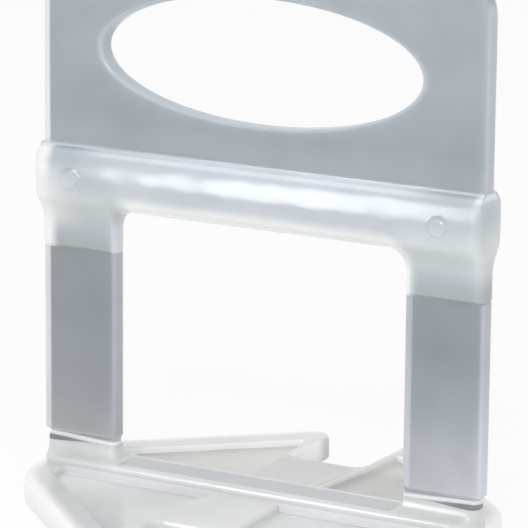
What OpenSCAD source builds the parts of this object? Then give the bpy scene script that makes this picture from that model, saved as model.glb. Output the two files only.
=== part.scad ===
// Tile levelling clip, moulded in one piece: a finger plate with an oval hole, a round bar,
// a wedge window between two snap-off legs, and a ribbed foot plate that lies under the tiles.
// X runs along the tile joint, Y across it and Z up from the underside of the foot plate.

/* [Frame] */
// Overall width of the clip along the joint
clip_w = 36; // [30:0.5:46]
// Thickness of the legs and the plate, which sets the joint between the tiles
joint_t = 1.5; // [1:0.1:2.6]
// Width of each leg
leg_w = 6.1; // [4.5:0.1:8]
// Radius on the long edges of the legs and the plate
edge_r = 0.35; // [0.1:0.05:0.45]

/* [Legs] */
// Height of each leg from its break line to the step under the shoulder
leg_h = 14.1; // [8:0.1:24]
// Depth of the break groove on each face of the leg
groove_depth = 0.35; // [0.1:0.05:0.4]
// Height of the mouth of the break groove
groove_h = 0.7; // [0.4:0.1:1.2]

/* [Shoulders] */
// Height from the step to the top of the wedge window
shoulder_h = 3.1; // [2.6:0.1:6]
// Thickness of the shoulder pad at the step
pad_t = 2; // [1.8:0.1:2.8]
// Height of the straight part of the shoulder pad
pad_h = 1.8; // [0.8:0.1:2.2]
// Radius of the hollow that flares the shoulder pad out to the bar
flare_r = 2.4; // [1.5:0.1:3]
// Radius of the round where the flare meets the front of the bar
flare_top_r = 1.2; // [0.4:0.1:1.6]
// Radius in the upper corners of the wedge window
window_r = 1.4; // [0.4:0.1:2.4]

/* [Bar] */
// Thickness of the bar over the wedge window, and of its round lower edge
bar_t = 4.1; // [3.4:0.1:5.4]
// Height of the bar
bar_h = 4.4; // [4:0.1:7]
// How far the crowned faces of the bar lean in from their widest line to the ledge
bar_crown = 0.57; // [0.05:0.01:0.8]
// Radius on the upper edges of the bar
bar_top_r = 0.4; // [0.3:0.1:1.2]
// Radius in plan on the ends of the bar and shoulders
bar_end_r = 0.6; // [0.2:0.1:1.5]
// Radius of the hollow between the bar and the plate
neck_r = 0.3; // [0.1:0.1:0.3]
// Diameter of the ejector marks on the front of the bar
mark_d = 1.4; // [0.8:0.1:2.4]
// Height of the ejector marks over the front of the bar
mark_h = 0.12; // [0.05:0.01:0.3]

/* [Plate] */
// Width of the oval finger hole
hole_w = 26.2; // [16:0.2:27]
// Height of the oval finger hole
hole_h = 9.4; // [6:0.2:16]
// Web between the bar's neck and the hole
hole_web = 2.5; // [1.5:0.1:6]
// Web between the hole and the top edge
top_web = 3.1; // [1.5:0.1:8]
// Radius on the plate's upper corners
plate_corner_r = 3; // [0.5:0.1:8]

/* [Foot plate] */
// Depth of the foot plate over its wing tips
base_d = 33.4; // [28:0.2:44]
// Depth of the foot plate at its two ends
base_end_d = 8.8; // [6:0.2:14]
// Height of the rim round the foot plate
rim_h = 2; // [1.6:0.1:3.5]
// Width of the rim along the slanted edges
rim_w = 2.4; // [1.2:0.1:3]
// Width of the rim beside the notches
notch_rim_w = 0.8; // [0.6:0.1:2]
// Width of the web between the pockets where it meets the rib
mid_web_w = 5.4; // [3:0.2:9]
// Thickness of the floor of the pockets
floor_t = 1.4; // [0.8:0.1:1.5]
// Width of the notch in the middle of the front and back edges
notch_w = 6.2; // [3:0.2:9]
// Distance from the middle of the clip to the bottom of a notch
notch_y = 9.4; // [6:0.2:11]
// Radius on the wing tips
tip_r = 1; // [0.3:0.1:1.5]
// Radius on the end corners
end_r = 7; // [1:0.5:9]
// Radius in the bottom corners of the notches
notch_r = 0.9; // [0.3:0.1:1.4]
// Radius in the corners of the pockets
pocket_r = 0.3; // [0.2:0.1:0.6]

/* [Rib] */
// Width of the rib under the legs
rib_w = 3.6; // [2.8:0.1:5]
// Height of the rib above the rim
rib_over = 0.6; // [0.3:0.1:1.5]
// Radius in plan on the ends of the rib
rib_end_r = 1.6; // [0.3:0.1:1.8]
// Height of the hollow-sided feet from the rib to the break lines
foot_h = 1.5; // [1:0.1:3]
// How far each foot spreads along the rib towards the window
foot_spread = 0.7; // [0.2:0.1:1.5]
// How far the outer end of each foot leans in at the break line
foot_lean = 0.1; // [0:0.1:1]

/* [Hidden] */

natural = [0.80, 0.83, 0.87];
arc_steps = 10;
round_fn = 72;
eps = 0.01;
half_w = clip_w / 2;
half_t = joint_t / 2;
bar_r = bar_t / 2;
pad_half = max(pad_t / 2, half_t + 0.2);
window_w = clip_w - 2 * leg_w;

// Levels above the underside
rib_z = rim_h + rib_over;
break_z = rib_z + foot_h;
step_z = break_z + leg_h;
window_z = step_z + shoulder_h;
bar_z = window_z + bar_r;
ledge_z = window_z + bar_h;
neck_z = ledge_z + neck_r;
hole_z = neck_z + hole_web + hole_h / 2;
top_z = hole_z + hole_h / 2 + top_web;

// Crown on each face of the bar, which meets the round of the ledge smoothly
crown_h = bar_h - bar_r - bar_top_r;
crown_in = max(0.02, min(bar_crown, crown_h / 2, bar_r - bar_top_r - half_t - neck_r));
crown_a = 2 * atan(crown_in / crown_h);
crown_r = bar_top_r + crown_h / sin(crown_a);

// Centre of the round in the right upper corner of the wedge window
round_x = window_w / 2 - window_r;
round_z = window_z - window_r;

// Slanted edge of a wing: it leaves the end corner and touches the round of the wing tip
wing_end = [half_w, base_end_d / 2];
tip_reach = [notch_w / 2 + tip_r, base_d / 2 - tip_r] - wing_end;
slant_a = atan2(tip_reach[1], tip_reach[0]) - asin(tip_r / norm(tip_reach));
wing_tip = [notch_w / 2, wing_end[1] + (notch_w / 2 - half_w) * tan(slant_a)];

// Points of an arc about c, from angle a0 to angle a1
function arc(c, r, a0, a1) =
    let (step = (a1 - a0) / arc_steps)
    [for (i = [0:arc_steps]) c + r * [cos(a0 + step * i), sin(a0 + step * i)]];

function unit(v) = v / norm(v);

// The arc that rounds corner b between neighbours a and c, or b itself where it stays sharp
function corner(a, b, c, r) =
    r == 0 ? [b] :
    let (
        u = unit(a - b),
        v = unit(c - b),
        half = acos(u * v) / 2,
        mid = b + unit(u + v) * r / sin(half),
        from = b + u * r / tan(half) - mid,
        to = b + v * r / tan(half) - mid,
        a0 = atan2(from[1], from[0]),
        turn = (atan2(to[1], to[0]) - a0 + 540) % 360 - 180
    )
    arc(mid, r, a0, a0 + turn);

// A closed outline with each corner rounded by its own radius
function rounded(pts, radii) =
    let (n = len(pts))
    [for (i = [0:n - 1]) each corner(pts[(i + n - 1) % n], pts[i], pts[(i + 1) % n], radii[i])];

// A path followed by its mirror image in the first axis, as a closed outline
function mirrored(path) =
    concat(path, [for (i = [len(path) - 1:-1:0]) [-path[i][0], path[i][1]]]);

// Rectangle centred on the origin with rounded corners
function plan_rect(w, d, r) =
    rounded([[-w / 2, -d / 2], [w / 2, -d / 2], [w / 2, d / 2], [-w / 2, d / 2]], [r, r, r, r]);

// Extrudes an outline drawn in X and Z evenly to both sides of the middle plane
module front_prism(depth) {
    rotate([90, 0, 0])
        linear_extrude(height = depth, center = true)
            children();
}

// Extrudes an outline drawn in Y and Z evenly to both sides of x = 0
module side_prism(length) {
    rotate([90, 0, 90])
        linear_extrude(height = length, center = true)
            children();
}

module both_ends() {
    children();
    mirror([1, 0, 0])
        children();
}

// Finger plate with rounded edges, from inside the bar to its top edge
module plate() {
    plate_z = bar_z - half_t;
    difference() {
        intersection() {
            front_prism(2 * joint_t)
                polygon(rounded(
                    [[-half_w, plate_z], [half_w, plate_z], [half_w, top_z], [-half_w, top_z]],
                    [0, 0, plate_corner_r, plate_corner_r]
                ));
            translate([0, 0, plate_z])
                linear_extrude(height = top_z)
                    polygon(plan_rect(clip_w, joint_t, edge_r));
            side_prism(2 * clip_w)
                polygon(rounded(
                    [[-half_t, plate_z], [half_t, plate_z], [half_t, top_z], [-half_t, top_z]],
                    [0, 0, edge_r, edge_r]
                ));
        }
        translate([0, 0, hole_z])
            scale([hole_w, 1, hole_h])
                rotate([90, 0, 0])
                    cylinder(d = 1, h = 2 * joint_t, center = true, $fn = round_fn);
    }
}

// Half section from the bar's widest line up its crown and over its ledge to the plate
function ledge_path() =
    let (crown_c = [bar_r - crown_r, bar_z])
    concat(
        arc(crown_c, crown_r, 0, crown_a),
        arc(crown_c + (crown_r - bar_top_r) * [cos(crown_a), sin(crown_a)], bar_top_r, crown_a, 90),
        arc([half_t + neck_r, neck_z], neck_r, 270, 180)
    );

// Straight length of the bar, round along its lower edge
module bar() {
    side_prism(2 * round_x) {
        translate([0, bar_z])
            circle(r = bar_r, $fn = round_fn);
        polygon(mirrored(ledge_path()));
    }
}

// Half section of a shoulder, from the step up its pad and flare to the plate
module shoulder_section() {
    radii = flare_r + flare_top_r;
    flare_a = acos(1 - (bar_r - pad_half) / radii);
    flare_z = step_z + pad_h;
    flare_top_z = flare_z + radii * sin(flare_a);
    polygon(mirrored(concat(
        [[half_t - eps, step_z], [pad_half, step_z + pad_half - half_t]],
        arc([pad_half + flare_r, flare_z], flare_r, 180, 180 - flare_a),
        arc([bar_r - flare_top_r, flare_top_z], flare_top_r, -flare_a, 0),
        ledge_path()
    )));
}

// Plan of a shoulder, square towards the middle of the clip from x
module shoulder_plan(x) {
    polygon(rounded(
        [[x, -bar_r], [half_w, -bar_r], [half_w, bar_r], [x, bar_r]],
        [0, bar_end_r, bar_end_r, 0]
    ));
}

// Section across the round edge that borders the window, its tip at distance tip from the origin
module nose_section(tip) {
    translate([tip + bar_r, 0]) {
        circle(r = bar_r, $fn = round_fn);
        translate([0, -bar_r])
            square([clip_w, bar_t]);
    }
}

// Top of one shoulder: the round edge of the bar turns down through the window's corner
module shoulder_bend() {
    intersection() {
        translate([round_x, 0, round_z])
            rotate([90, 0, 0])
                rotate_extrude(angle = 90, $fn = round_fn)
                    nose_section(window_r);
        side_prism(2 * clip_w)
            shoulder_section();
        linear_extrude(height = top_z)
            shoulder_plan(round_x);
    }
}

// Low round left by an ejector pin on the front of the bar, over a leg
module ejector_mark() {
    translate([half_w - leg_w / 2, -bar_r, window_z + bar_h / 2])
        rotate([90, 0, 0])
            cylinder(d = mark_d, h = 2 * mark_h, center = true, $fn = round_fn);
}

// Rest of one shoulder, from the bend down to the step
module shoulder_pad() {
    intersection() {
        side_prism(2 * clip_w)
            shoulder_section();
        linear_extrude(height = round_z)
            intersection() {
                translate([window_w / 2, 0])
                    nose_section(0);
                shoulder_plan(round_x);
            }
    }
}

// One leg with rounded long edges, from its break line into the shoulder pad
module leg() {
    sunk = pad_half - half_t;
    translate([half_w - leg_w / 2, 0, break_z - eps])
        linear_extrude(height = leg_h + sunk + eps)
            polygon(plan_rect(leg_w, joint_t, edge_r));
}

// Plan of the rib and of the feet on it, its ends a little short of a half round at most
module rib_plan() {
    polygon(plan_rect(clip_w, rib_w, min(rib_end_r, 0.45 * rib_w)));
}

// Hollow side of a foot: w wide at the rib and h high, leaving the leg's face at x
function foot_side(x, w, h) =
    [for (p = arc([1, 1], 1, 270, 180)) [x + w * p[0], rib_z + h * p[1]]];

// Foot that carries one leg on the rib, hollowed to the front, the back and the window
module foot() {
    inner = window_w / 2;
    hollow_h = foot_h - groove_h / 2;
    across = foot_side(half_t, rib_w / 2 - half_t, hollow_h);
    along = foot_side(inner, -foot_spread, hollow_h);
    intersection() {
        side_prism(2 * clip_w)
            polygon(mirrored(concat([[rib_w / 2, floor_t]], across, [[half_t, break_z]])));
        front_prism(rib_w)
            polygon(concat(
                [[half_w - foot_lean, break_z], [half_w, rib_z], [half_w, floor_t]],
                [[inner - foot_spread, floor_t]],
                along,
                [[inner, break_z]]
            ));
        linear_extrude(height = break_z)
            rib_plan();
    }
}

// Triangle that cuts the break groove into a face at x
module groove_section(x) {
    polygon([
        [x - groove_depth, break_z],
        [x + groove_depth, break_z - groove_h],
        [x + groove_depth, break_z + groove_h]
    ]);
}

// Break groove in the back and in the outer edge of one leg
module break_groove() {
    side_prism(2 * clip_w)
        groove_section(half_t);
    front_prism(clip_w)
        groove_section(half_w);
}

// Outline of the foot plate, from one quarter of its corners
module base_outline() {
    quarter = [wing_end, wing_tip, [notch_w / 2, notch_y]];
    radii = [end_r, tip_r, notch_r];
    back = mirrored(quarter);
    back_radii = concat(radii, [notch_r, tip_r, end_r]);
    polygon(rounded(concat(back, -back), concat(back_radii, back_radii)));
}

// Pocket in one wing, inside the rim
module pocket() {
    out = [sin(slant_a), -cos(slant_a)];
    reach = out * wing_end - rim_w;
    end_x = half_w - rim_w;
    tip_x = notch_w / 2 + notch_rim_w;
    end_y = (reach - out[0] * end_x) / out[1];
    tip_y = (reach - out[0] * tip_x) / out[1];
    low_y = rib_w / 2;
    pts = [[end_x, low_y], [end_x, end_y], [tip_x, tip_y], [mid_web_w / 2, low_y]];
    r = pocket_r;
    translate([0, 0, floor_t])
        linear_extrude(height = rib_z)
            polygon(rounded(pts, [r, r, r, r]));
}

// Foot plate: a rimmed web with the rib along its middle
module base() {
    difference() {
        linear_extrude(height = rim_h)
            base_outline();
        both_ends() {
            pocket();
            mirror([0, 1, 0])
                pocket();
        }
    }
    translate([0, 0, floor_t])
        linear_extrude(height = rib_z - floor_t)
            rib_plan();
}

module levelling_clip() {
    color(natural) {
        plate();
        bar();
        base();
        both_ends() {
            shoulder_bend();
            ejector_mark();
            shoulder_pad();
            difference() {
                union() {
                    leg();
                    foot();
                }
                break_groove();
                mirror([0, 1, 0])
                    break_groove();
            }
        }
    }
}

levelling_clip();
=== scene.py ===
import math

import bmesh
import bpy
from mathutils import Matrix, Vector


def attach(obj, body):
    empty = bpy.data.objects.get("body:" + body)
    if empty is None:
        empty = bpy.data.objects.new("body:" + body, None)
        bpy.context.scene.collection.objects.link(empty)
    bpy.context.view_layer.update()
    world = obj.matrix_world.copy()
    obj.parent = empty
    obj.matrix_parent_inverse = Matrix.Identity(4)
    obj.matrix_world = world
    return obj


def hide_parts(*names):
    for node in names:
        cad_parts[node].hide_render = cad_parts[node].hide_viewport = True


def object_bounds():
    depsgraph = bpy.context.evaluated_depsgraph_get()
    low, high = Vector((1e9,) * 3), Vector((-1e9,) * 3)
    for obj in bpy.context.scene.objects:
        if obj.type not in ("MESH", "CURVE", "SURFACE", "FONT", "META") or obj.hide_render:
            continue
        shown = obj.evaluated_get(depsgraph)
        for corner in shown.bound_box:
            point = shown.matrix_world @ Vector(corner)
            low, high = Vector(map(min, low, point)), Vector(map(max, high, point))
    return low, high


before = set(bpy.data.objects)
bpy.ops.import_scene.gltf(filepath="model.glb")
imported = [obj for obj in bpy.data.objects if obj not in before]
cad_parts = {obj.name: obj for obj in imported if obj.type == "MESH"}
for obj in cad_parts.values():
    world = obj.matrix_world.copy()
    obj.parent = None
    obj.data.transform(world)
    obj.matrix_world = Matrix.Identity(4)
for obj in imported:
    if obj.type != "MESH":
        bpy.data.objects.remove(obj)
cadLow, cadHigh = [Vector(corner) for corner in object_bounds()]

# the clip is one moulded piece, modelled in mm and scaled to metres at the end
mm = 0.001
halfWidth = cadHigh.x / mm
clipTop = cadHigh.z / mm
print("frame loaded, clip", [round(v / mm, 2) for v in cadHigh - cadLow], "mm")


# small helpers

tiny = 0.001  # mm, less than any real gap
weldGap = 0.002
levelGap = 0.01
crispAngle = 60


def quarterRound(u):  # height of a quarter circle, 0 at its foot and 1 from its crown on
    u = min(max(u, 0.0), 1.0)
    return math.sqrt(max(0.0, 1 - (1 - u) ** 2))


def quarterTurns(steps):  # the angles of a quarter circle, without its start
    return [k * math.pi / 2 / steps for k in range(1, steps + 1)]


def softMin(a, b, reach):  # the smaller of two, with the crease between them rounded
    if reach <= 0:
        return min(a, b)
    h = max(reach - abs(a - b), 0) / reach
    return min(a, b) - h * h * reach / 4


def spread(start, end, count):  # evenly spaced values from just after start up to end
    return [start + (end - start) * (k + 1) / count for k in range(count)]


def crispEdges(bm):
    limit = math.radians(crispAngle)
    return [e for e in bm.edges if len(e.link_faces) == 2 and e.calc_face_angle(0) > limit]


def levelEdges(bm, z):  # crisp edges that lie at height z
    return [e for e in crispEdges(bm) if all(abs(v.co.z - z) < levelGap for v in e.verts)]


def closeUp(bm):  # weld doubles and turn the faces outward
    bmesh.ops.remove_doubles(bm, verts=bm.verts, dist=weldGap)
    bmesh.ops.dissolve_degenerate(bm, edges=bm.edges, dist=weldGap / 2)
    bmesh.ops.recalc_face_normals(bm, faces=bm.faces)


def roundOff(bm, edges, radius, segments):
    bmesh.ops.bevel(bm, geom=edges, affect="EDGES", offset=radius, segments=segments,
                    profile=0.5, material=-1)


def thicken(bm, by):  # extrude the drawn face into a closed slab
    slab = bmesh.ops.extrude_face_region(bm, geom=bm.faces[:])
    moved = [v for v in slab["geom"] if isinstance(v, bmesh.types.BMVert)]
    bmesh.ops.translate(bm, verts=moved, vec=by)
    closeUp(bm)


def mirrorAll(bm, axes):
    for axis in axes:
        geom = bm.verts[:] + bm.edges[:] + bm.faces[:]
        bmesh.ops.mirror(bm, geom=geom, axis=axis, merge_dist=tiny)


def skinLoops(bm, loops):  # bridge a stack of loops and close both ends
    for low, high in zip(loops, loops[1:]):
        bmesh.ops.bridge_loops(bm, edges=low + high)
    bmesh.ops.edgeloop_fill(bm, edges=loops[0])
    bmesh.ops.edgeloop_fill(bm, edges=loops[-1])


def toObject(bm, name):
    mesh = bpy.data.meshes.new(name)
    bm.to_mesh(mesh)
    bm.free()
    piece = bpy.data.objects.new(name, mesh)
    bpy.context.scene.collection.objects.link(piece)
    return piece


def joinShells(main, others, operation="UNION"):
    for other in others:
        join = main.modifiers.new("join", "BOOLEAN")
        join.operation = operation
        join.solver = "MANIFOLD"
        join.object = other
        shaped = main.evaluated_get(bpy.context.evaluated_depsgraph_get())
        mesh = bpy.data.meshes.new_from_object(shaped)
        main.modifiers.clear()
        main.data = mesh
        bpy.data.objects.remove(other)


# legs, shoulders and bar: one sheet wrapped from foot to bar, then mirrored

arch = {
    "legWidth": 6.1, "legThick": 1.5, "edgeRound": 0.35, "edgeShare": 0.8,
    "ribTop": 2.6, "footRoot": 1.9, "footHalf": 1.72, "footSpread": 0.7, "footIn": 0.2,
    "footRound": 1.6, "footTopRound": 0.55, "roundShare": 0.95,
    "breakZ": 4.1, "grooveDepth": 0.35,
    "stepZ": 18.2, "stepLift": 0.02, "padThick": 2.0, "padHeight": 1.8,
    "flareRound": 2.4, "flareTopRound": 1.2,
    "windowTop": 21.3, "windowRound": 1.4,
    "barThick": 4.1, "crownIn": 0.57, "ledgeZ": 25.7, "ledgeRound": 0.4, "endRound": 0.6,
    "neckRound": 0.3, "neckTuck": 0.01, "creaseRound": 0.35, "creaseRoom": 0.5,
    "sinkDepth": 0.024, "sinkEnd": 14.0, "sinkFade": 2.5, "sinkWaves": [(1.3, 2.6), (2.1, -1.9)],
    "roundSteps": 12, "flatSteps": 12, "neckSteps": 5, "footSteps": 8, "legSteps": 24,
    "chamferSteps": 2, "padSteps": 6, "cornerSteps": 14, "barSteps": 32,
}
legHalf = arch["legThick"] / 2
padHalf = arch["padThick"] / 2
barHalf = arch["barThick"] / 2
windowHalf = halfWidth - arch["legWidth"]
bendX = windowHalf - arch["windowRound"]
bendZ = arch["windowTop"] - arch["windowRound"]
crownZ = arch["windowTop"] + barHalf
hollowTop = arch["breakZ"] - arch["grooveDepth"]


def shoulderHalf(z):  # half thickness of pad and flare by height
    lift = z - arch["stepZ"]
    if lift < padHalf - legHalf:
        return legHalf + max(lift, 0)
    rise = lift - arch["padHeight"]
    if rise <= 0:
        return padHalf
    low, high = arch["flareRound"], arch["flareTopRound"]
    turn = math.acos(1 - (barHalf - padHalf) / (low + high))
    if rise < low * math.sin(turn):
        return padHalf + low - math.sqrt(low * low - rise * rise)
    left = (low + high) * math.sin(turn) - rise
    if left > 0:
        return barHalf - high + math.sqrt(high * high - left * left)
    return barHalf


def crownHalf(z):  # half thickness of the bar's upper part: a wide crown, then the round of its ledge
    small = arch["ledgeRound"]
    climb = arch["ledgeZ"] - small - crownZ
    lean = 2 * math.atan(arch["crownIn"] / climb)
    wide = small + climb / math.sin(lean)
    rise = max(z - crownZ, 0)
    if rise < wide * math.sin(lean):
        return barHalf - wide + math.sqrt(wide * wide - rise * rise)
    up = min(z - arch["ledgeZ"] + small, small)
    hub = barHalf - wide + (wide - small) * math.cos(lean)
    return hub + math.sqrt(max(0.0, small * small - up * up))


def sinkHollow(x, z):  # faint hollows that cooling leaves in the thick bar, none at its ends
    fading = min(max((arch["sinkEnd"] - x) / arch["sinkFade"], 0.0), 1.0)
    waves = [math.sin(across * x + up * z) for across, up in arch["sinkWaves"]]
    return arch["sinkDepth"] * fading * (1 + sum(waves) / len(waves)) / 2


def archHalf(x, z, d):  # half thickness of shoulder and bar, d from the window's edge
    nose = barHalf * quarterRound(d / barHalf)
    flare = shoulderHalf(z)
    room = min(1.0, (barHalf - min(nose, flare)) / arch["creaseRoom"])
    half = softMin(nose, flare, arch["creaseRound"] * room)
    gap = halfWidth - x
    if gap < arch["endRound"]:
        half -= arch["endRound"] * (1 - quarterRound(gap / arch["endRound"]))
    return max(min(half, crownHalf(z) - sinkHollow(x, z)), 0.0)


def legSection(z):  # inner edge, outer edge, half thickness and outer round of foot, groove and leg
    cut = max(0.0, arch["grooveDepth"] - abs(z - arch["breakZ"]))
    inner, outer, half, turn = windowHalf, halfWidth - cut, legHalf - cut, arch["edgeRound"]
    if z < arch["breakZ"]:
        up = min(max((z - arch["ribTop"]) / (hollowTop - arch["ribTop"]), 0), 1)
        swell = 1 - quarterRound(up)
        inner -= arch["footSpread"] * swell
        half += (arch["footHalf"] - legHalf) * swell
        outer = min(outer, halfWidth - arch["footIn"])
        turn = arch["footTopRound"] + (arch["footRound"] - arch["footTopRound"]) * swell
    return inner, outer, half, min(turn, half * arch["roundShare"])


def neckPoints(end):  # hollow round from the ledge up to the plate, none below the ledge
    x, half, z = end
    sunk = legHalf - arch["neckTuck"]  # ends just inside the plate
    rise = arch["neckRound"] if z > arch["ledgeZ"] - tiny and half > sunk else 0
    points = []
    for a in quarterTurns(arch["neckSteps"]):
        y = half - (half - sunk) * math.sin(a) if rise else half
        points.append((x, y, z + rise * (1 - math.cos(a))))
    return points


def legRow(z):  # half a section of foot or leg, from the window round to the outer edge
    inner, outer, half, turn = legSection(z)
    edge = min(arch["edgeRound"], half * arch["edgeShare"])
    turns = quarterTurns(arch["roundSteps"])
    row = [(inner, 0, z), (inner, half - edge, z)]
    row += [(inner + edge * (1 - math.cos(a)), half - edge + edge * math.sin(a), z) for a in turns]
    row += [(x, half, z) for x in spread(inner + edge, outer - turn, arch["flatSteps"])]
    row += [(outer - turn + turn * math.sin(a), half - turn + turn * math.cos(a), z) for a in turns]
    return row + neckPoints(row[-1]) + [(outer, 0, z)]


def archRow(x0, z0, dx, dz, length, edge):  # half a section from the window's edge outwards along dx, dz
    turns = quarterTurns(arch["roundSteps"])
    reach = [0.0] + [barHalf * (1 - math.cos(a)) for a in turns]
    reach += spread(reach[-1], length - edge, arch["flatSteps"])
    reach += [length - edge + edge * math.sin(a) for a in turns]
    points = [(x0 + dx * d, archHalf(x0 + dx * d, z0 + dz * d, d), z0 + dz * d) for d in reach]
    points += neckPoints(points[-1])
    return [(x0, 0, z0)] + points + [(points[-1][0], 0, points[-1][2])]


def legRows():
    snap, groove = arch["breakZ"], arch["grooveDepth"]
    levels = [arch["footRoot"], arch["ribTop"]] + spread(arch["ribTop"], hollowTop, arch["footSteps"])
    levels += [snap - groove / 2, snap, snap + groove / 2, snap + groove]
    levels += spread(snap + groove, arch["stepZ"], arch["legSteps"])
    return [legRow(z) for z in levels]


def shoulderRows():
    low = arch["stepZ"] + arch["stepLift"]
    levels = [low] + spread(low, arch["stepZ"] + padHalf - legHalf, arch["chamferSteps"])
    levels += spread(levels[-1], bendZ, arch["padSteps"])
    return [archRow(windowHalf, z, 1, 0, arch["legWidth"], arch["endRound"]) for z in levels]


def bendRows():  # a fan of rows round the window's upper corner
    r = arch["windowRound"]
    wide, high = halfWidth - bendX, arch["ledgeZ"] - bendZ
    corner = math.atan2(high, wide)
    turns = spread(0, corner, arch["cornerSteps"]) + spread(corner, math.pi / 2, arch["cornerSteps"])
    rows = []
    for a in turns:
        dx, dz = math.cos(a), math.sin(a)
        if a <= corner + tiny:
            reach, edge = wide / dx, arch["endRound"] / dx
        else:
            reach, edge = high / dz, arch["ledgeRound"] / dz
        rows.append(archRow(bendX + r * dx, bendZ + r * dz, dx, dz, reach - r, edge))
    return rows


def barRows():
    low, high = arch["windowTop"], arch["ledgeZ"]
    places = spread(bendX, 0, arch["barSteps"])
    return [archRow(x, low, 0, 1, high - low, arch["ledgeRound"]) for x in places]


def makeArch():
    rows = legRows() + shoulderRows() + bendRows() + barRows()
    along, across = len(rows) - 1, len(rows[0]) - 1
    bm = bmesh.new()
    # a grid one unit wide, each vertex then goes to its place in the rows
    grid = bmesh.ops.create_grid(bm, x_segments=along, y_segments=across, size=0.5)
    for v in grid["verts"]:
        x, y, z = rows[round((v.co.x + 0.5) * along)][round((v.co.y + 0.5) * across)]
        v.co = (x, -y, z)
    mirrorAll(bm, "YX")
    closeUp(bm)
    bmesh.ops.holes_fill(bm, edges=[e for e in bm.edges if e.is_boundary], sides=0)
    bmesh.ops.recalc_face_normals(bm, faces=bm.faces)
    return toObject(bm, "arch")


# shapes to cut away, round at the mouth

cutter = {"mouthSteps": 5, "flare": 1.1, "past": 0.2}


def mouthProfile(mouth, face):  # offset and height up the round of a mouth and on past the face
    points = []
    for a in [0.0] + quarterTurns(cutter["mouthSteps"])[:-1]:
        points.append((mouth * (1 - math.cos(a)), face + mouth * (math.sin(a) - 1)))
    return points + [(mouth * cutter["flare"], face + cutter["past"])]


# finger plate with its oval hole

plate = {
    "rootZ": 24.2, "tuck": 0.03, "cornerRound": 3.0, "edgeRound": 0.35, "rimRound": 0.25,
    "holeWidth": 25.9, "holeHeight": 9.1, "holeZ": 33.3,
    "holeSides": 96, "cornerSteps": 9, "edgeSteps": 4,
}


def makeHole():  # the oval hole as a solid, round at both mouths
    front = mouthProfile(plate["rimRound"], legHalf)
    profile = [(by, -y) for by, y in reversed(front)] + front
    bm = bmesh.new()
    loops = []
    for by, y in profile:
        radii = Matrix.Diagonal((plate["holeWidth"] / 2 + by, 1, plate["holeHeight"] / 2 + by, 1))
        shape = Matrix.Translation((0, y, plate["holeZ"])) @ radii @ Matrix.Rotation(math.pi / 2, 4, "X")
        bmesh.ops.create_circle(bm, segments=plate["holeSides"], radius=1, matrix=shape)
        loops.append(bm.edges[:][-plate["holeSides"]:])  # the ring just drawn
    skinLoops(bm, loops)
    bmesh.ops.recalc_face_normals(bm, faces=bm.faces)
    return toObject(bm, "hole")


def makePlate():
    wide = halfWidth - plate["tuck"]
    corners = [(-wide, plate["rootZ"]), (wide, plate["rootZ"]), (wide, clipTop), (-wide, clipTop)]
    bm = bmesh.new()
    verts = [bm.verts.new((x, -legHalf, z)) for x, z in corners]
    bm.faces.new(verts)
    bmesh.ops.bevel(bm, geom=verts[2:], affect="VERTICES", offset=plate["cornerRound"],
                    segments=plate["cornerSteps"], profile=0.5, material=-1)
    thicken(bm, (0, 2 * legHalf, 0))
    roundOff(bm, crispEdges(bm), plate["edgeRound"], plate["edgeSteps"])
    closeUp(bm)
    slab = toObject(bm, "plate")
    joinShells(slab, [makeHole()], "DIFFERENCE")
    return slab


# foot plate: rims, pockets and notches, drawn as a quarter and mirrored

foot = {
    "endDepth": 8.8, "rimTop": 2.0, "rimWidth": 2.4, "notchRim": 0.8, "midWeb": 5.4,
    "floorTop": 1.4, "notchWidth": 6.2, "notchY": 9.4, "tipRound": 1.0, "endRound": 7.0,
    "notchRound": 0.9, "pocketRound": 0.3, "pocketRoot": 1.78,
    "topEdge": 0.45, "lowEdge": 0.3, "pocketMouth": 0.3, "pocketHollow": 0.25,
    "roundSteps": 6, "topSteps": 4, "lowSteps": 3, "hollowSteps": 4,
}
rib = {"halfWidth": 1.8, "tuck": 0.12, "endRound": 1.6, "root": 0.7, "edge": 0.3, "edgeSteps": 4}


def roundedLoop(corners, radii, steps):  # outline points, each corner turned by its own arc
    points = []
    for k, radius in enumerate(radii):
        at = Vector(corners[k])
        u = (Vector(corners[k - 1]) - at).normalized()
        w = (Vector(corners[(k + 1) % len(corners)]) - at).normalized()
        half = math.acos(u.dot(w)) / 2
        centre = at + (u + w).normalized() * radius / math.sin(half)
        arm = at + u * radius / math.tan(half) - centre
        turn = (math.pi - 2 * half) * (1 if u.cross(w) < 0 else -1)
        points += [centre + Matrix.Rotation(turn * s / steps, 2) @ arm for s in range(steps + 1)]
    return points


def drawLoop(bm, points, z):  # closed chain of edges at height z
    verts = [bm.verts.new((p.x, p.y, z)) for p in points]
    return [bm.edges.new((verts[k - 1], verts[k])) for k in range(len(verts))]


def grown(corners, by):  # outline with each side moved outwards by that much
    moved = []
    for k, corner in enumerate(corners):
        at = Vector(corner)
        u = (Vector(corners[k - 1]) - at).normalized()
        w = (Vector(corners[(k + 1) % len(corners)]) - at).normalized()
        moved.append(at - (u + w).normalized() * by / math.sin(math.acos(u.dot(w)) / 2))
    return moved


def wingSlant():  # angle of a wing's slanted edge, which touches the round of the tip
    tip = foot["tipRound"]
    across = foot["notchWidth"] / 2 + tip - halfWidth
    reach = Vector((across, cadHigh.y / mm - tip - foot["endDepth"] / 2))
    return math.atan2(reach.y, reach.x) - math.asin(tip / reach.length)


def wingEdge():  # outward direction of that edge and its distance from the middle
    slant = wingSlant()
    out = Vector((math.sin(slant), -math.cos(slant)))
    return out, out.dot(Vector((halfWidth, foot["endDepth"] / 2)))


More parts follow.
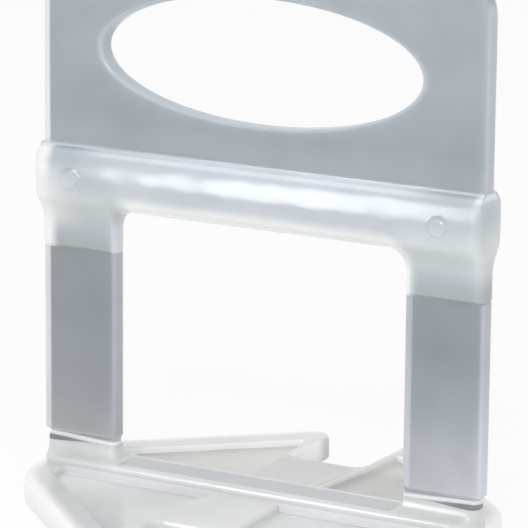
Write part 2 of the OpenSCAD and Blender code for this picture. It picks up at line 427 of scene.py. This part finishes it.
def makeBase():
    endY = foot["endDepth"] / 2
    notchX = foot["notchWidth"] / 2
    tipY = endY + (notchX - halfWidth) * math.tan(wingSlant())
    quarter = [(halfWidth, endY), (notchX, tipY), (notchX, foot["notchY"])]
    rounds = [foot["endRound"], foot["tipRound"], foot["notchRound"]]
    back = quarter + [(-x, y) for x, y in reversed(quarter)]
    outline = back + [(-x, -y) for x, y in back]
    bm = bmesh.new()
    loop = roundedLoop(outline, (rounds + rounds[::-1]) * 2, foot["roundSteps"])
    bmesh.ops.edgeloop_fill(bm, edges=drawLoop(bm, loop, 0))
    thicken(bm, (0, 0, foot["rimTop"]))
    roundOff(bm, levelEdges(bm, foot["rimTop"]), foot["topEdge"], foot["topSteps"])
    roundOff(bm, levelEdges(bm, 0), foot["lowEdge"], foot["lowSteps"])
    closeUp(bm)
    return toObject(bm, "base")


def wellProfile():  # offset and height of the pocket's side: hollow at the floor, round at the mouth
    hollow = foot["pocketHollow"]
    points = []
    for a in [0.0] + quarterTurns(foot["hollowSteps"]):
        points.append((hollow * (math.sin(a) - 1), foot["floorTop"] + hollow * (1 - math.cos(a))))
    return points + mouthProfile(foot["pocketMouth"], foot["rimTop"])


def makeWells():  # the four pockets as solids
    out, edge = wingEdge()
    line = edge - foot["rimWidth"]
    endX = halfWidth - foot["rimWidth"]
    tipX = foot["notchWidth"] / 2 + foot["notchRim"]
    well = [(foot["midWeb"] / 2, foot["pocketRoot"]), (endX, foot["pocketRoot"])]
    well += [(x, (line - out.x * x) / out.y) for x in (endX, tipX)]
    bm = bmesh.new()
    loops = []
    for by, z in wellProfile():
        rounds = [foot["pocketRound"] + by] * len(well)
        loops.append(drawLoop(bm, roundedLoop(grown(well, by), rounds, foot["roundSteps"]), z))
    skinLoops(bm, loops)
    mirrorAll(bm, "XY")
    bmesh.ops.recalc_face_normals(bm, faces=bm.faces)
    return toObject(bm, "wells")


def makeRib():
    long, wide = halfWidth - rib["tuck"], rib["halfWidth"]
    corners = [(-long, -wide), (long, -wide), (long, wide), (-long, wide)]
    bm = bmesh.new()
    loop = roundedLoop(corners, [rib["endRound"]] * len(corners), foot["roundSteps"])
    bmesh.ops.edgeloop_fill(bm, edges=drawLoop(bm, loop, rib["root"]))
    thicken(bm, (0, 0, arch["ribTop"] - rib["root"]))
    roundOff(bm, levelEdges(bm, arch["ribTop"]), rib["edge"], rib["edgeSteps"])
    closeUp(bm)
    return toObject(bm, "rib")


# ejector marks, low rounds on the front of the bar

mark = {"width": 1.4, "height": 0.12, "slope": 0.17, "z": 23.5, "sides": 48}


def makeMarks():
    radius = mark["width"] / 2
    facing = Matrix.Rotation(math.pi / 2, 4, "X")
    bm = bmesh.new()
    for side in (-1, 1):
        place = Matrix.Translation((side * (halfWidth - arch["legWidth"] / 2), -barHalf, mark["z"]))
        bmesh.ops.create_cone(bm, cap_ends=True, segments=mark["sides"], depth=2 * mark["height"],
                              radius1=radius + mark["slope"], radius2=radius - mark["slope"],
                              matrix=place @ facing)
    bmesh.ops.recalc_face_normals(bm, faces=bm.faces)
    return toObject(bm, "marks")


# all shells joined into one skin, shaded smooth apart from its sharp edges

skin = {"sharpAngle": 33, "flatFrom": 0.9999, "normalWeight": 60}


def setShading(bm):
    for f in bm.faces:
        f.smooth = True
    for e in bm.edges:
        flat = [abs(f.normal.y) > skin["flatFrom"] for f in e.link_faces]
        plateBorder = e.verts[0].co.z / mm > arch["ledgeZ"] and flat[0] != flat[-1]
        e.smooth = e.calc_face_angle(0) < math.radians(skin["sharpAngle"]) and not plateBorder


def makeClip():
    clip = makeArch()
    print("arch", len(clip.data.vertices), "verts")
    base = makeBase()
    joinShells(base, [makeWells()], "DIFFERENCE")
    joinShells(base, [makeRib()])
    print("foot plate", len(base.data.vertices), "verts")
    joinShells(clip, [makeMarks(), makePlate(), base])
    bm = bmesh.new()
    bm.from_mesh(clip.data)
    bmesh.ops.triangulate(bm, faces=[f for f in bm.faces if len(f.verts) > 4])
    loose = [e for e in bm.edges if not e.is_manifold]
    print("joined", len(bm.verts), "verts", len(bm.faces), "faces", len(loose), "open edges")
    bmesh.ops.scale(bm, verts=bm.verts, vec=(mm, mm, mm))
    setShading(bm)
    bm.to_mesh(clip.data)
    bm.free()
    clip.name = "tileClip"
    shading = clip.modifiers.new("evenShading", "WEIGHTED_NORMAL")
    shading.keep_sharp = True
    shading.weight = skin["normalWeight"]
    return clip


clip = makeClip()
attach(clip, "root")
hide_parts("levelling_clip")


# natural plastic: milky where it is thick, grey where it is thin, with painted light and shade laid over
# it

plastic = {
    "heightTones": [  # mm above the floor and the colour there
        (0.00, (0.66, 0.66, 0.65)), (2.05, (0.67, 0.67, 0.66)), (2.63, (0.65, 0.67, 0.67)),
        # the pale stops from 4.04 to 4.24 mm paint a highlight along the break line
        (4.00, (0.63, 0.65, 0.65)), (4.04, (0.90, 0.90, 0.91)), (4.24, (0.88, 0.89, 0.90)),
        (4.32, (0.40, 0.41, 0.43)), (9.00, (0.312, 0.335, 0.364)), (14.5, (0.287, 0.315, 0.34)),
        (18.18, (0.305, 0.335, 0.355)), (18.24, (0.385, 0.415, 0.435)), (20.0, (0.485, 0.52, 0.545)),
        (21.6, (0.61, 0.65, 0.665)), (24.0, (0.53, 0.57, 0.61)), (25.3, (0.52, 0.565, 0.615)),
        # the pale stops from 25.55 to 25.85 mm paint a highlight along the bar's ledge
        (25.55, (0.71, 0.76, 0.81)), (25.85, (0.71, 0.76, 0.81)), (26.0, (0.39, 0.43, 0.46)),
        (28.3, (0.345, 0.385, 0.415)), (33.0, (0.37, 0.41, 0.44)), (41.0, (0.37, 0.405, 0.43)),
    ],
    # edgeShift shifts the painted edge light and shade sideways, noseShift the painted light under the
    # bar
    "edgeShift": 0.24, "noseShift": 0.8, "rimBlend": 3.0,
    "breakSink": (windowHalf, halfWidth, 0.27, 0.1),  # the painted highlight at the break line sinks towards the window
    "grooveLow": (windowHalf + 1.5, halfWidth - 0.4, 3.92, 3.6),  # its painted shadow line widens outwards
    "hazeScale": 0.22, "hazeDetail": 3, "hazeFade": (0.3, 0.7, 0.96, 1.04),
    # the right leg is painted paler towards a spot low on its outer side
    "paleLegSpot": (16.0, 0.0, 4.0), "paleLegFade": (2.0, 11.0, 0.35, 0),
    "glossScale": 0.6, "glossDetail": 1, "roughness": (0.3, 0.7, 0.15, 0.21),
    "ior": 1.49, "scatter": 0.7, "scatterRadius": (1, 1, 1), "scatterDepth": 2.0,
}
hardStep = 0.002  # mm over which a hard limit turns


# a fade is a place, its low and high and, where these aren't 0 and 1, the shares there

def above(place, limit):
    return (place, limit - hardStep, limit + hardStep)


def below(place, limit):
    return (place, limit - hardStep, limit + hardStep, 1, 0)


def band(place, low, high, soft):
    return [(place, low - soft, low + soft), (place, high - soft, high + soft, 1, 0)]


onLeft = below("x", 0)
onRight = above("x", 0)
onBreak = band("z", 3.2, 4.5, 0.1)
onLegs = band("z", arch["breakZ"] + arch["grooveDepth"], arch["stepZ"], 0.02)
onBar = band("z", arch["stepZ"], arch["ledgeZ"] + 0.1, 0.02)
onPlate = above("z", arch["ledgeZ"] + 0.25)
onBase = below("z", foot["rimTop"] + 0.02)
atBack = ("y", 0, 3)
atWindow = ("z", bendZ, arch["windowTop"], 1, 0)
outerEdge = ("edge", halfWidth - 0.5, halfWidth - 0.3)
innerEdge = ("edge", windowHalf + 0.3, windowHalf + 0.5, 1, 0)
pocketFloor = [*band("z", 1.3, 1.55, 0.05), atBack, ("rim", -1.5, -1.2, 1, 0)]
notchSide = band("side", 2.9, 3.2, 0.03)
midRib = ("side", 11.0, 13.5, 1, 0)

# tones laid over each other in this order, each with the fades that bound it
edgeLightAndShade = {  # painted light and shade on the thin edges: left edges paler, right-hand edges darker
    "rightLeg": [(0.445, 0.47, 0.505), *onLegs, outerEdge, onRight],
    "leftLeg": [(0.64, 0.64, 0.66), *onLegs, outerEdge, onLeft],
    "windowSide": [(0.445, 0.47, 0.505), *onLegs, innerEdge],
    "rightPlate": [(0.48, 0.51, 0.54), onPlate, outerEdge, onRight],
    "leftPlate": [(0.72, 0.73, 0.73), onPlate, outerEdge, onLeft],
    # painted shade on the wall of the oval hole
    "ovalRim": [(0.45, 0.50, 0.54), onPlate, ("oval", 1.0, 1.05, 1, 0)],
}
barLayers = {
    # painted light: the bar's rounded underside and the right shoulder's inner side nearly white, the
    # left inner side paler
    "underside": [(0.97, 0.98, 0.98), *onBar, ("window", 0.5, 1.75, 1, 0),
                  ("nose", bendX, windowHalf + 0.6, 1, 0)],
    "rightInside": [(0.97, 0.98, 0.98), *onBar, atWindow, above("x", windowHalf - 1),
                    ("x", windowHalf + 0.35, windowHalf + 0.65, 0.65, 0)],
    "leftInside": [(0.66, 0.69, 0.72), *onBar, atWindow, onLeft,
                   ("x", -windowHalf - 0.3, -windowHalf - 0.1)],
    # the right shoulder painted paler than the left
    "paleRightShoulder": [(0.78, 0.81, 0.83), *onBar, ("x", 11, 14, 0, 0.3), *band("z", 19.9, 23.2, 0.9)],
    # painted shade on the upper ends of the bar
    "upperEnds": [(0.44, 0.49, 0.53), *onBar, ("side", 11.5, 15.5), ("z", 23.2, 24.6),
                  ("x", 17.2, 17.7, 1, 0), ("x", -5, 5, 1, 0.8)],
    # painted light at the bar's left end
    "nearLeftEnd": [(0.82, 0.83, 0.82), *onBar, ("x", 0.5 - halfWidth, 4.5 - halfWidth, 0.7, 0),
                    *band("z", 20.2, 24.2, 1.0)],
    "leftEnd": [(0.82, 0.83, 0.82), *onBar, ("x", 0.65 - halfWidth, 1.65 - halfWidth, 1, 0)],
}
footLayers = {
    "back": [(0.75, 0.75, 0.74), onBase, atBack],
    "front": [(0.69, 0.70, 0.705), onBase, ("y", -2.5, -1.2, 1, 0)],
    # painted glow along the foot plate's outline
    "outline": [(0.98, 0.98, 0.98), onBase, ("rim", -1.3, -0.2)],
    # painted light on the right wing's rim top
    "rightBack": [(0.74, 0.74, 0.72), onBase, ("x", -2, 4), ("y", 7, 11.5)],
    "midWeb": [(0.58, 0.59, 0.58), *band("z", 1.9, 2.02, 0.02), ("side", 2.9, 3.4, 1, 0), atBack],
    "floors": [(0.70, 0.70, 0.675), *pocketFloor],
    # painted shade on the pocket floors next to the rib, darker on the right
    "nearLeftFloor": [(0.60, 0.61, 0.615), *pocketFloor, ("x", -2, 4, 1, 0), ("y", 2.5, 8.5, 1, 0)],
    "nearRightFloor": [(0.53, 0.53, 0.515), *pocketFloor, ("x", -2, 4), ("y", 9.5, 13, 1, 0)],
    # painted light on the rib's front wall and the front-left pocket floor, against the shade there
    "ribWall": [(0.79, 0.80, 0.82), onBase, *band("y", -1.95, -1.7, 0.03), ("side", 15.3, 15.7, 1, 0)],
    "frontLeftFloor": [(0.82, 0.83, 0.835), ("z", 1.6, 1.9, 1, 0), ("y", -2.2, -1.9, 1, 0),
                       ("x", -14, -9.5, 1, 0), ("rim", -2.6, -2.2, 1, 0)],
    # painted light on the back pocket walls and the notch walls
    "backWalls": [(1.0, 1.0, 0.97), *band("z", 1.52, 1.94, 0.03), ("y", 3, 4), ("side", 3.9, 4.3),
                  *band("rim", -foot["rimWidth"] - 0.5, -foot["rimWidth"] + 0.3, 0.1)],
    "notchWalls": [(0.92, 0.93, 0.91), onBase, *notchSide, ("y", 10.0, 10.6), ("y", 14.0, 15.4, 1, 0)],
    "wingTips": [(0.58, 0.58, 0.605), onBase, *notchSide, ("y", 14.3, 15.6)],
    # painted highlights along the rib's edges
    "ribEdges": [(0.71, 0.72, 0.74), *band("z", 2.2, 2.56, 0.03), midRib],
    "ribTop": [(0.49, 0.52, 0.54), *band("z", 2.57, 2.62, 0.01), ("deep", 1.0, 1.25, 1, 0), midRib],
}
grooveShadowAndLight = {
    # painted shadow along the break groove
    "line": [(0.22, 0.23, 0.25), ("groove", 0, 0.06), ("sunk", 3.97, 4.02, 1, 0),
             ("side", windowHalf, halfWidth - 1.5, 0.25, 1)],
    # painted light on the groove's upper flank, against its shade
    "flank": [(0.50, 0.52, 0.55), ("sunk", 4.24, 4.30), ("z", 4.40, 4.46, 1, 0)],
}


def plug(tree, socket, value):
    if isinstance(value, bpy.types.NodeSocket):
        tree.links.new(value, socket)
    else:
        socket.default_value = value


def calc(tree, operation, *values):
    node = tree.nodes.new("ShaderNodeMath")
    node.operation = operation
    for socket, value in zip(node.inputs, values):
        plug(tree, socket, value)
    return node.outputs[0]


def scaled(tree, vector, by):
    node = tree.nodes.new("ShaderNodeVectorMath")
    node.operation = "SCALE"
    plug(tree, node.inputs[0], vector)
    plug(tree, node.inputs["Scale"], by)
    return node.outputs[0]


def fade(tree, value, low, high, start=0.0, end=1.0):  # smooth step from start at low to end at high
    node = tree.nodes.new("ShaderNodeMapRange")
    node.interpolation_type = "SMOOTHSTEP"
    names = ("Value", "From Min", "From Max", "To Min", "To Max")
    for name, amount in zip(names, (value, low, high, start, end)):
        plug(tree, node.inputs[name], amount)
    return node.outputs["Result"]


def within(tree, spots, fades):  # share where all fades hold
    steps = [fade(tree, spots[place], *numbers) for place, *numbers in fades]
    share = steps[0]
    for step in steps[1:]:
        share = calc(tree, "MULTIPLY", share, step)
    return share


def hypot(tree, *lengths):
    total = calc(tree, "MULTIPLY", lengths[0], lengths[0])
    for length in lengths[1:]:
        total = calc(tree, "MULTIPLY_ADD", length, length, total)
    return calc(tree, "SQRT", total)


def tint(tree, share, under, over):
    node = tree.nodes.new("ShaderNodeMix")
    node.data_type = "RGBA"
    plug(tree, node.inputs[0], share)
    plug(tree, node.inputs[6], under)
    plug(tree, node.inputs[7], (*over, 1))
    return node.outputs[2]


def cloud(tree, place, scale, detail):
    node = tree.nodes.new("ShaderNodeTexNoise")
    plug(tree, node.inputs["Vector"], place)
    plug(tree, node.inputs["Scale"], scale)
    plug(tree, node.inputs["Detail"], detail)
    return node.outputs["Fac"]


def heightColour(tree, height):
    ramp = tree.nodes.new("ShaderNodeValToRGB")
    stops = ramp.color_ramp.elements
    while len(stops) < len(plastic["heightTones"]):
        stops.new(0.5)
    for stop, (z, colour) in zip(stops, plastic["heightTones"]):
        stop.position = z / clipTop
        stop.color = (*colour, 1)
    plug(tree, ramp.inputs["Fac"], calc(tree, "DIVIDE", height, clipTop))
    return ramp.outputs["Color"]


def windowGap(tree, side, height):  # distance from the window's edge, round its corners too
    dx = calc(tree, "MAXIMUM", calc(tree, "SUBTRACT", side, bendX), 0)
    dz = calc(tree, "MAXIMUM", calc(tree, "SUBTRACT", height, bendZ), 0)
    return calc(tree, "SUBTRACT", hypot(tree, dx, dz), arch["windowRound"])


def ovalReach(tree, x, height):  # 1 on the edge of the oval hole, more outside it
    u = calc(tree, "DIVIDE", x, plate["holeWidth"] / 2)
    w = calc(tree, "DIVIDE", calc(tree, "SUBTRACT", height, plate["holeZ"]), plate["holeHeight"] / 2)
    return hypot(tree, u, w)


def rimGap(tree, side, deep):  # distance from the foot plate's outline, less than 0 inside it
    out, edge = wingEdge()
    along = calc(tree, "MULTIPLY_ADD", deep, out.y, calc(tree, "MULTIPLY", side, out.x))
    slanted = calc(tree, "SUBTRACT", along, edge)
    return calc(tree, "SMOOTH_MAX", slanted, calc(tree, "SUBTRACT", side, halfWidth), plastic["rimBlend"])


def findPlaces(tree, place):  # the coordinates and distances that the fades name
    at = tree.nodes.new("ShaderNodeSeparateXYZ")
    plug(tree, at.inputs[0], place)
    x, y, z = at.outputs
    spots = {"x": x, "y": y, "z": z}
    spots["side"] = calc(tree, "ABSOLUTE", x)
    spots["deep"] = calc(tree, "ABSOLUTE", y)
    spots["edge"] = calc(tree, "ABSOLUTE", calc(tree, "SUBTRACT", x, plastic["edgeShift"]))
    spots["nose"] = calc(tree, "ABSOLUTE", calc(tree, "SUBTRACT", x, plastic["noseShift"]))
    spots["window"] = windowGap(tree, spots["side"], z)
    spots["oval"] = ovalReach(tree, x, z)
    spots["rim"] = rimGap(tree, spots["side"], spots["deep"])
    sink = fade(tree, spots["side"], *plastic["breakSink"])
    spots["sunk"] = calc(tree, "MULTIPLY_ADD", sink, within(tree, spots, onBreak), z)
    low = fade(tree, spots["side"], *plastic["grooveLow"])
    spots["groove"] = calc(tree, "SUBTRACT", spots["sunk"], low)
    return spots


def layTones(tree, colour, spots):
    for layers in (edgeLightAndShade, barLayers, footLayers, grooveShadowAndLight):
        for tone, *fades in layers.values():
            colour = tint(tree, within(tree, spots, fades), colour, tone)
    return colour


def flowGain(tree, spots, place):  # faint flow haze, and paler on the right leg towards its foot
    noise = cloud(tree, place, plastic["hazeScale"], plastic["hazeDetail"])
    haze = fade(tree, noise, *plastic["hazeFade"])
    away = [calc(tree, "SUBTRACT", spots[axis], value) for axis, value in zip("xyz", plastic["paleLegSpot"])]
    legPaleness = fade(tree, hypot(tree, *away), *plastic["paleLegFade"])
    gain = calc(tree, "MULTIPLY", legPaleness, within(tree, spots, onLegs))
    return calc(tree, "MULTIPLY_ADD", haze, gain, haze)


def naturalPlastic():
    mat = bpy.data.materials.new("naturalPlastic")
    mat.use_nodes = True
    tree = mat.node_tree
    bsdf = tree.nodes["Principled BSDF"]
    bsdf.inputs["IOR"].default_value = plastic["ior"]
    bsdf.inputs["Subsurface Weight"].default_value = plastic["scatter"]
    bsdf.inputs["Subsurface Radius"].default_value = plastic["scatterRadius"]
    bsdf.inputs["Subsurface Scale"].default_value = plastic["scatterDepth"] * mm
    texture = tree.nodes.new("ShaderNodeTexCoord")
    place = scaled(tree, texture.outputs["Object"], 1 / mm)  # the piece's own place in mm
    spots = findPlaces(tree, place)
    colour = layTones(tree, heightColour(tree, spots["sunk"]), spots)
    plug(tree, bsdf.inputs["Base Color"], scaled(tree, colour, flowGain(tree, spots, place)))
    gloss = cloud(tree, place, plastic["glossScale"], plastic["glossDetail"])
    plug(tree, bsdf.inputs["Roughness"], fade(tree, gloss, *plastic["roughness"]))
    print("natural plastic", len(tree.nodes), "nodes")
    return mat


clip.data.materials.clear()
clip.data.materials.append(naturalPlastic())


# camera at the photo's angle, from the fitted view

view = {
    "focalPx": 3600, "framePx": 528, "sensor": 36, "near": 0.005,
    "azimuth": 30.0, "elevation": 12.95, "roll": 0.53,
    "target": (0.22, 0.0, 18.82), "distance": 255.1,
}


def makeCamera():
    a, e, roll = (math.radians(view[k]) for k in ("azimuth", "elevation", "roll"))
    back = Vector((math.sin(a) * math.cos(e), -math.cos(a) * math.cos(e), math.sin(e)))
    right = Vector((math.cos(a), math.sin(a), 0))
    up = back.cross(right)
    tiltRight = right * math.cos(roll) + up * math.sin(roll)
    tiltUp = up * math.cos(roll) - right * math.sin(roll)
    spot = (Vector(view["target"]) + back * view["distance"]) * mm
    pose = Matrix((tiltRight, tiltUp, back)).transposed().to_4x4()
    camera = bpy.data.objects.new("camera", bpy.data.cameras.new("camera"))
    camera.data.sensor_width = view["sensor"]
    camera.data.lens = view["focalPx"] / view["framePx"] * view["sensor"]
    camera.data.clip_start = view["near"]
    camera.matrix_world = Matrix.Translation(spot) @ pose
    bpy.context.scene.collection.objects.link(camera)
    bpy.context.scene.camera = camera
    print("camera", round(camera.data.lens, 1), "mm lens")


# floor, light and white surroundings

stage = {
    "floorHalf": 2.0, "floorTone": 0.95, "shadowShare": 0.15, "ambient": 0.75,  # floor in metres
    "aim": (0, 0, 18),  # where the lamps point, in mm
}
white = (1, 1, 1, 1)


def seenDirectly(tree):  # 1 for rays that show the background: camera, glossy, transmission
    path = tree.nodes.new("ShaderNodeLightPath").outputs
    shown = calc(tree, "MAXIMUM", path["Is Camera Ray"], path["Is Glossy Ray"])
    return calc(tree, "MAXIMUM", shown, path["Is Transmission Ray"])


def makeFloor():
    bm = bmesh.new()
    bmesh.ops.create_grid(bm, x_segments=1, y_segments=1, size=stage["floorHalf"])
    floor = toObject(bm, "floor")
    mat = bpy.data.materials.new("paleFloor")
    mat.use_nodes = True
    tree = mat.node_tree
    tree.nodes.clear()
    output = tree.nodes.new("ShaderNodeOutputMaterial")
    diffuse = tree.nodes.new("ShaderNodeBsdfDiffuse")
    diffuse.inputs["Color"].default_value = (*[stage["floorTone"]] * 3, 1)
    glow = tree.nodes.new("ShaderNodeEmission")
    glow.inputs["Color"].default_value = white
    mix = tree.nodes.new("ShaderNodeMixShader")
    plug(tree, mix.inputs["Fac"], calc(tree, "MULTIPLY", seenDirectly(tree), 1 - stage["shadowShare"]))
    plug(tree, mix.inputs[1], diffuse.outputs[0])
    plug(tree, mix.inputs[2], glow.outputs[0])
    plug(tree, output.inputs["Surface"], mix.outputs[0])
    floor.data.materials.append(mat)


def makeWorld():
    world = bpy.data.worlds.new("whiteRoom")
    world.use_nodes = True
    tree = world.node_tree
    background = tree.nodes["Background"]
    background.inputs["Color"].default_value = white
    level = fade(tree, seenDirectly(tree), 0, 1, stage["ambient"], 1)
    plug(tree, background.inputs["Strength"], level)
    bpy.context.scene.world = world


lamps = {  # mm and watts; the oval strip is seen in reflections only
    "key": {"place": (-120, -220, 260), "size": (160, 160), "watts": 0.07},
    "fill": {"place": (130, -265, 45), "size": (140, 140), "watts": 0.03},
    "glint": {"place": (90, -225, 198), "size": (130, 50), "watts": 0.23},
    "strip": {"place": (-70.5, -132, 67), "size": (39, 98), "watts": 0.10, "onlyGloss": True},
}


def makeLamps():
    for name, lamp in lamps.items():
        onlyGloss = lamp.get("onlyGloss", False)
        data = bpy.data.lights.new(name, "AREA")
        data.shape = "ELLIPSE" if onlyGloss else "RECTANGLE"
        data.size, data.size_y = (side * mm for side in lamp["size"])
        data.energy = lamp["watts"]
        light = bpy.data.objects.new(name, data)
        light.visible_camera = False
        light.visible_diffuse = not onlyGloss
        spot, aim = Vector(lamp["place"]) * mm, Vector(stage["aim"]) * mm
        facing = (spot - aim).to_track_quat("Z", "Y").to_matrix().to_4x4()
        light.matrix_world = Matrix.Translation(spot) @ facing
        bpy.context.scene.collection.objects.link(light)
    print("lamps", ", ".join(lamps))


makeCamera()
makeFloor()
makeWorld()
makeLamps()
bpy.context.scene.view_settings.view_transform = "Standard"

print("scene ready")
